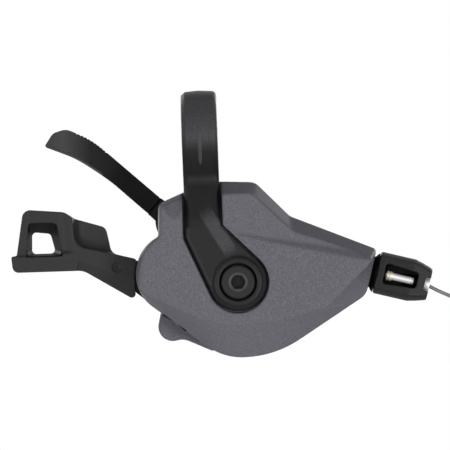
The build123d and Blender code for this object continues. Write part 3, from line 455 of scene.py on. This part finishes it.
def black_band_coat():
    """Satin black coat on the aluminium band, with painted highlights on the strap's top and the
    arm's facet.
    """
    finish = Finish("band_coat", 0.45, specular=0.17)
    cloud = finish.noise(1800, 3.0, 0.6)
    coat = finish.ramp(cloud, [(0.35, grey(0.0075, 0.06)), (0.65, grey(0.0115, 0.06))])
    start = Vector(facet_start)
    down = (Vector(facet_end) - start).normalized()
    right = Vector((-down.y, down.x))
    facet = [
        finish.stretch((way.x, 0, way.y), [start.dot(way) + limit for limit in limits])
        for way, limits in ((down, facet_along), (right, facet_across))
    ]
    strap = finish.stretch((0, 0, 1), strap_highlight)
    highlight = finish.math("MAXIMUM", finish.math("MULTIPLY", *facet), strap)
    # Painted highlight: the coat is lighter on the strap's top and on the arm's right facet
    finish.colour(finish.scaled(coat, finish.between(highlight, 1.0, highlight_gain)))
    finish.roughen(cloud, 0.4, 0.5)
    finish.bump(cloud, 0.15, 0.03 * MM)
    return finish.material


def plain_metal(name, dark, light, roughness, metallic=1.0):
    """Bare metal with fine clouds of tone and gloss."""
    finish = Finish(name, roughness, metallic)
    cloud = finish.noise(900, 4.0, 0.65)
    finish.colour(finish.ramp(cloud, [(0.3, dark), (0.7, light)]))
    finish.roughen(cloud, roughness - 0.06, roughness + 0.08)
    finish.bump(cloud, 0.1, 0.02 * MM)
    return finish.material


def stranded_wire():
    """Steel wire rope with strands that wind round it, darker in the grooves between them as painted
    shade.
    """
    finish = Finish("stranded_wire", 0.34, metallic=1.0)
    along = finish.axes(finish.node("ShaderNodeTexCoord").outputs["UV"])
    turns = finish.math("MULTIPLY", along["X"], cable_length / (strand_lay * MM))
    strands = finish.math("MULTIPLY_ADD", along["Y"], wire_strands, turns)
    height = finish.math("PINGPONG", strands, 0.5)
    # Painted shade: darker in the grooves between the strands, lighter on their crests
    finish.colour(finish.ramp(height, [(0.0, grey(0.04)), (0.25, grey(0.17)), (0.5, grey(0.28))]))
    finish.bump(height, 0.6, 0.12 * MM)
    return finish.material


def make_finishes():
    """Every finish by its name."""
    return {
        "cover": speckled_cover_paint("cover_paint"),
        "rear_cover": speckled_cover_paint("rear_cover_paint"),
        "band": black_band_coat(),
        "band_rib_highlight": satin_plastic("band_rib_highlight", 0.045, 0.055, 0.5, 1800, 0.02),
        "bolt": bolt_coat(),
        "steel": plain_metal("plain_steel", grey(0.4), grey(0.52), 0.34),
        "black_steel": satin_plastic("black_steel", 0.003, 0.005, 0.36, 1600, 0.02, 0.08),
        "lever": lever_moulding(),
        "release": release_moulding(),
        "release_edge_highlight": satin_plastic("release_edge_highlight", 0.03, 0.045, 0.4, 2400, 0.02, 0.3),
        "black_plastic": satin_plastic("adjuster_moulding", 0.010, 0.015, 0.46, 2400, 0.05),
        "neck": satin_plastic("neck_painted_shade", 0.001, 0.002, 0.5, 2400, 0.02, 0.04),
        "drum": satin_plastic("drum_moulding", 0.3, 0.36, 0.5, 1500, 0.03),
        "brass": plain_metal("brass", (0.84, 0.76, 0.62), (0.9, 0.84, 0.72), 0.45, 0.3),
        "tube": plain_metal("bright_tube", grey(0.78), grey(0.88), 0.45, 0.3),
        "cable": stranded_wire(),
        "tie": satin_plastic("tie_moulding", 0.02, 0.03, 0.5, 1500, 0.03),
    }


def finish_of(node):
    """Finish of a solid: that of its slot, or a deep black as painted shade in the adjuster's neck.
    """
    return finishes["neck" if node in neck_pieces else slot_of[node]]


def dress(piece, finish):
    """Gives a piece one finish."""
    piece.data.materials.clear()
    piece.data.materials.append(finish)


# Pieces


def merged_copy(node):
    """Copy of a solid with its triangles joined, in the solid's place and on its body."""
    solid = nodes[node]
    piece = bpy.data.objects.new(node + "_finished", solid.data.copy())
    bpy.context.scene.collection.objects.link(piece)
    make_active(piece)
    bpy.ops.object.mode_set(mode="EDIT")
    bpy.ops.mesh.select_all(action="SELECT")
    bpy.ops.mesh.remove_doubles(threshold=joining_reach * MM)
    bpy.ops.object.mode_set(mode="OBJECT")
    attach(piece, solid["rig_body"])
    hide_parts(node)
    dress(piece, finish_of(node))
    return piece


def moulded_piece(node, grid, rounds):
    """Moulding or forging whose edges are all softly rounded."""
    piece = merged_copy(node)
    skin = piece.modifiers.new("skin", "REMESH")
    skin.mode = "VOXEL"
    skin.voxel_size = grid * MM
    skin.use_smooth_shade = True
    soften = piece.modifiers.new("soften", "SMOOTH")
    soften.factor = 0.5
    soften.iterations = rounds
    apply_modifiers(piece)
    return piece


def soft_step(share):
    """Rises smoothly from 0 to 1."""
    share = min(1.0, max(0.0, share))
    return share * share * (3 - 2 * share)


def blended_window_frame(piece):
    """Runs the thumb lever's face softly down to its window frame."""
    foot = Vector(frame_foot)
    line = (Vector(frame_head) - foot).normalized()
    across = Vector((line.y, -line.x))
    for vertex in piece.data.vertices:
        x, y, z = vertex.co / MM
        beside = (Vector((x, z)) - foot).dot(across)
        in_frame = z > ledge_height and y < lever_face + frame_step
        if in_frame and -frame_overlap < beside < frame_blend:
            fall = frame_step * (1 - soft_step(beside / frame_blend))
            fall *= soft_step((z - ledge_height) / ledge_blend)
            vertex.co.y = max(y, lever_face + fall) * MM


def round_line(name, places, sides):
    """Curve with closed ends along points, whose thickness is not set yet."""
    line = bpy.data.curves.new(name, "CURVE")
    line.dimensions = "3D"
    line.bevel_resolution = sides
    line.use_fill_caps = True
    spline = line.splines.new("NURBS")
    spline.points.add(len(places) - 1)
    for place, point in zip(places, spline.points):
        point.co = (*(Vector(place) * MM), 1.0)
    spline.order_u = 3
    spline.use_endpoint_u = True
    piece = bpy.data.objects.new(name, line)
    bpy.context.scene.collection.objects.link(piece)
    return piece


def bead(name, places, radius, body, finish):
    """Slim round bead along points."""
    piece = round_line(name, places, 2)
    piece.data.bevel_depth = radius * MM
    make_active(piece)
    bpy.ops.object.convert(target="MESH")
    bpy.ops.object.shade_smooth()
    piece = bpy.context.object
    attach(piece, body)
    dress(piece, finishes[finish])


def band_rib():
    """Low rounded rib down the middle of the band's front, in a lighter coat as a painted highlight.
    """
    places = []
    for degrees, reach in band_rib_route:
        turn = math.radians(degrees)
        places.append((0, -reach * math.cos(turn), reach * math.sin(turn)))
    bead("clamp_band_rib", places, band_rib_radius, "housing", "band_rib_highlight")


def release_lever_edge():
    """Bead in a lighter grey along the lower edge of the release lever, a painted highlight."""
    places = [(x, bead_depth, z) for x, z in release_bead]
    bead("release_lever_edge", places, bead_radius, "release_lever", "release_edge_highlight")


def front_cover_gap_shadow():
    """Black bead along the front cover's lower rim, a painted shadow of the gap between the covers.
    """
    places = [(x, gap_shadow_depth, z) for x, z in gap_shadow_route]
    bead("front_cover_gap_shadow", places, gap_shadow_radius, "housing", "neck")


def tube_shade_collar():
    """Black collar that closes the knob round the tube, in a deep black as painted shade inside the
    knob's window.
    """
    deselect()
    bpy.ops.mesh.primitive_cylinder_add(
        vertices=collar_sides,
        radius=collar_radius * MM,
        depth=collar_length * MM,
        end_fill_type="NOTHING",
        location=Vector((collar_place[0], cable_depth, collar_place[1])) * MM,
        rotation=(0, math.radians(90 + collar_fall), 0),
    )
    piece = bpy.context.object
    piece.name = "tube_shade_collar"
    bpy.ops.object.transform_apply()
    wall = piece.modifiers.new("wall", "SOLIDIFY")
    wall.thickness = collar_wall * MM
    wall.offset = -1.0
    apply_modifiers(piece)
    bpy.ops.object.shade_smooth_by_angle(angle=smooth_angle)
    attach(piece, nodes["adjuster_tube"]["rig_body"])
    dress(piece, finishes["neck"])


def turned_piece(node, width):
    """Turned or cut piece with flat faces, rounded edges and smooth curves."""
    piece = merged_copy(node)
    make_active(piece)
    bpy.ops.object.mode_set(mode="EDIT")
    bpy.ops.mesh.select_all(action="SELECT")
    bpy.ops.mesh.dissolve_limited(angle_limit=flat_angle)
    bpy.ops.object.mode_set(mode="OBJECT")
    rounding = piece.modifiers.new("rounding", "BEVEL")
    rounding.width = width * MM
    rounding.segments = 2
    rounding.limit_method = "ANGLE"
    rounding.angle_limit = sharp_angle
    apply_modifiers(piece)
    bpy.ops.object.shade_smooth_by_angle(angle=smooth_angle)
    flats = piece.modifiers.new("flats", "WEIGHTED_NORMAL")
    flats.keep_sharp = True
    apply_modifiers(piece)


def coil_places():
    """Places of the turns in the coil's bundle as (outwards, along Y), from its outer row inwards."""
    row_pitch = cable_diameter * math.sin(row_angle)
    places = []
    for row in range(bundle_rows, -bundle_rows - 1, -1):
        outwards = row * row_pitch
        shift = 0.5 if row % 2 else 0.0
        columns = range(-bundle_rows, bundle_rows + 1)
        across = [(column + shift) * cable_diameter for column in columns]
        held = [y for y in across if math.hypot(outwards, y) < bundle_reach]
        places += [(outwards, y) for y in (held if row % 2 else reversed(held))]
    return places[:coil_turns]


def coil_points():
    """Points of the coil's turns after the end of the route, turning clockwise."""
    before = Vector(cable_route[-2])
    end = Vector(cable_route[-1])
    along = (end - before).normalized()
    centre = end + Vector((along.y, -along.x)) * coil_reach
    start = math.atan2(end.y - centre.y, end.x - centre.x)
    places = coil_places()
    points = []
    cut = math.cos(math.pi / points_per_turn)   # the curve runs this much inside its points
    for turn, (outwards, across) in enumerate(places):
        later = places[min(turn + 1, len(places) - 1)]
        for step in range(points_per_turn):
            share = max(0.0, (step / points_per_turn - crossing) / (1 - crossing))
            radius = (coil_radius + outwards + share * (later[0] - outwards)) / cut
            depth = across + share * (later[1] - across)
            angle = start - 2 * math.pi * (turn + (step + coil_lead) / points_per_turn)
            x = centre.x + radius * math.cos(angle)
            z = centre.y + radius * math.sin(angle)
            points.append((x, cable_depth + depth, z))
    return points


def inner_cable_free():
    """Bare inner cable from the adjuster, with its spare length in a coil."""
    points = [(x, cable_depth, z) for x, z in cable_route] + coil_points()
    piece = round_line("free_inner_cable", points, 3)
    line = piece.data
    line.resolution_u = 4
    line.bevel_depth = cable_diameter
    for point in line.splines[0].points:
        point.radius = 0.5 * MM     # half the diameter, in metres
    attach(piece, "housing")
    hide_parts("free_cable", "cable_coil")
    return piece


# Stage


def look_from(obj, place, target, up):
    """Turns an object's -Z towards a target."""
    back = (place - target).normalized()
    right = up.cross(back).normalized()
    turned = Matrix((right, back.cross(right), back)).transposed()
    obj.matrix_world = Matrix.Translation(place) @ turned.to_4x4()


def photo_camera():
    """Camera in front of the cover, tilted as in the photograph."""
    data = bpy.data.cameras.new("camera")
    data.sensor_width = sensor_width
    data.lens = sensor_width * view_distance / view_width
    data.clip_end = view_end
    camera = bpy.data.objects.new("camera", data)
    bpy.context.scene.collection.objects.link(camera)
    place = view_centre + Vector((0, -view_distance, 0))
    up = Vector((math.sin(view_tilt), 0, math.cos(view_tilt)))
    look_from(camera, place, view_centre, up)
    bpy.context.scene.camera = camera


def soft_box(name, place, size, power):
    """Square area light that faces the object."""
    data = bpy.data.lights.new(name, "AREA")
    data.size = size
    data.energy = power
    lamp = bpy.data.objects.new(name, data)
    bpy.context.scene.collection.objects.link(lamp)
    look_from(lamp, Vector(place), view_centre, Vector((0.01, 0.02, 1)))


def seen_directly(tree):
    """1 for rays from the camera, in mirrors and through glass."""
    path = tree.nodes.new("ShaderNodeLightPath")
    total = path.outputs["Is Camera Ray"]
    for name in ("Is Glossy Ray", "Is Transmission Ray"):
        most = tree.nodes.new("ShaderNodeMath")
        most.operation = "MAXIMUM"
        tree.links.new(total, most.inputs[0])
        tree.links.new(path.outputs[name], most.inputs[1])
        total = most.outputs["Value"]
    return total


def white_backdrop():
    """White world that lights the object softly."""
    world = bpy.data.worlds.new("backdrop")
    bpy.context.scene.world = world
    world.use_nodes = True
    tree = world.node_tree
    background = tree.nodes["Background"]
    background.inputs["Color"].default_value = (1, 1, 1, 1)
    strength = tree.nodes.new("ShaderNodeMapRange")
    strength.inputs["To Min"].default_value = world_light
    strength.inputs["To Max"].default_value = 1.0
    tree.links.new(seen_directly(tree), strength.inputs["Value"])
    tree.links.new(strength.outputs["Result"], background.inputs["Strength"])


def pale_floor():
    """Pale floor well below the object, under the photograph's frame."""
    deselect()
    place = (0, 0, cad_box[0].z - floor_drop)
    bpy.ops.mesh.primitive_plane_add(size=floor_size, location=place)
    floor = bpy.context.object
    floor.name = "floor"
    bpy.ops.object.transform_apply()
    paint = bpy.data.materials.new("floor_paint")
    paint.use_nodes = True
    tree = paint.node_tree
    shader = tree.nodes["Principled BSDF"]
    shader.inputs["Base Color"].default_value = (*grey(floor_grey), 1)
    shader.inputs["Roughness"].default_value = 0.9
    shader.inputs["Emission Color"].default_value = (1, 1, 1, 1)
    glow = tree.nodes.new("ShaderNodeMapRange")
    glow.inputs["To Max"].default_value = floor_glow
    tree.links.new(seen_directly(tree), glow.inputs["Value"])
    tree.links.new(glow.outputs["Result"], shader.inputs["Emission Strength"])
    dress(floor, paint)


def studio():
    """Camera, soft lights, backdrop and floor."""
    bpy.context.scene.view_settings.view_transform = "Standard"
    photo_camera()
    white_backdrop()
    pale_floor()
    for name, values in soft_boxes.items():
        soft_box(name, *values)


# Assembly

finishes = make_finishes()
slot_of = {part["node"]: part["material_slot"] for part in frame["record"]["subparts"]}
for name, solid in nodes.items():
    dress(solid, finish_of(name))
mouldings = {name: moulded_piece(name, *values) for name, values in soft_edges.items()}
blended_window_frame(mouldings["main_lever_pad"])
band_rib()
release_lever_edge()
front_cover_gap_shadow()
tube_shade_collar()
for name, width in edge_rounding.items():
    turned_piece(name, width)
cable = inner_cable_free()
dress(cable, finishes["cable"])
studio()
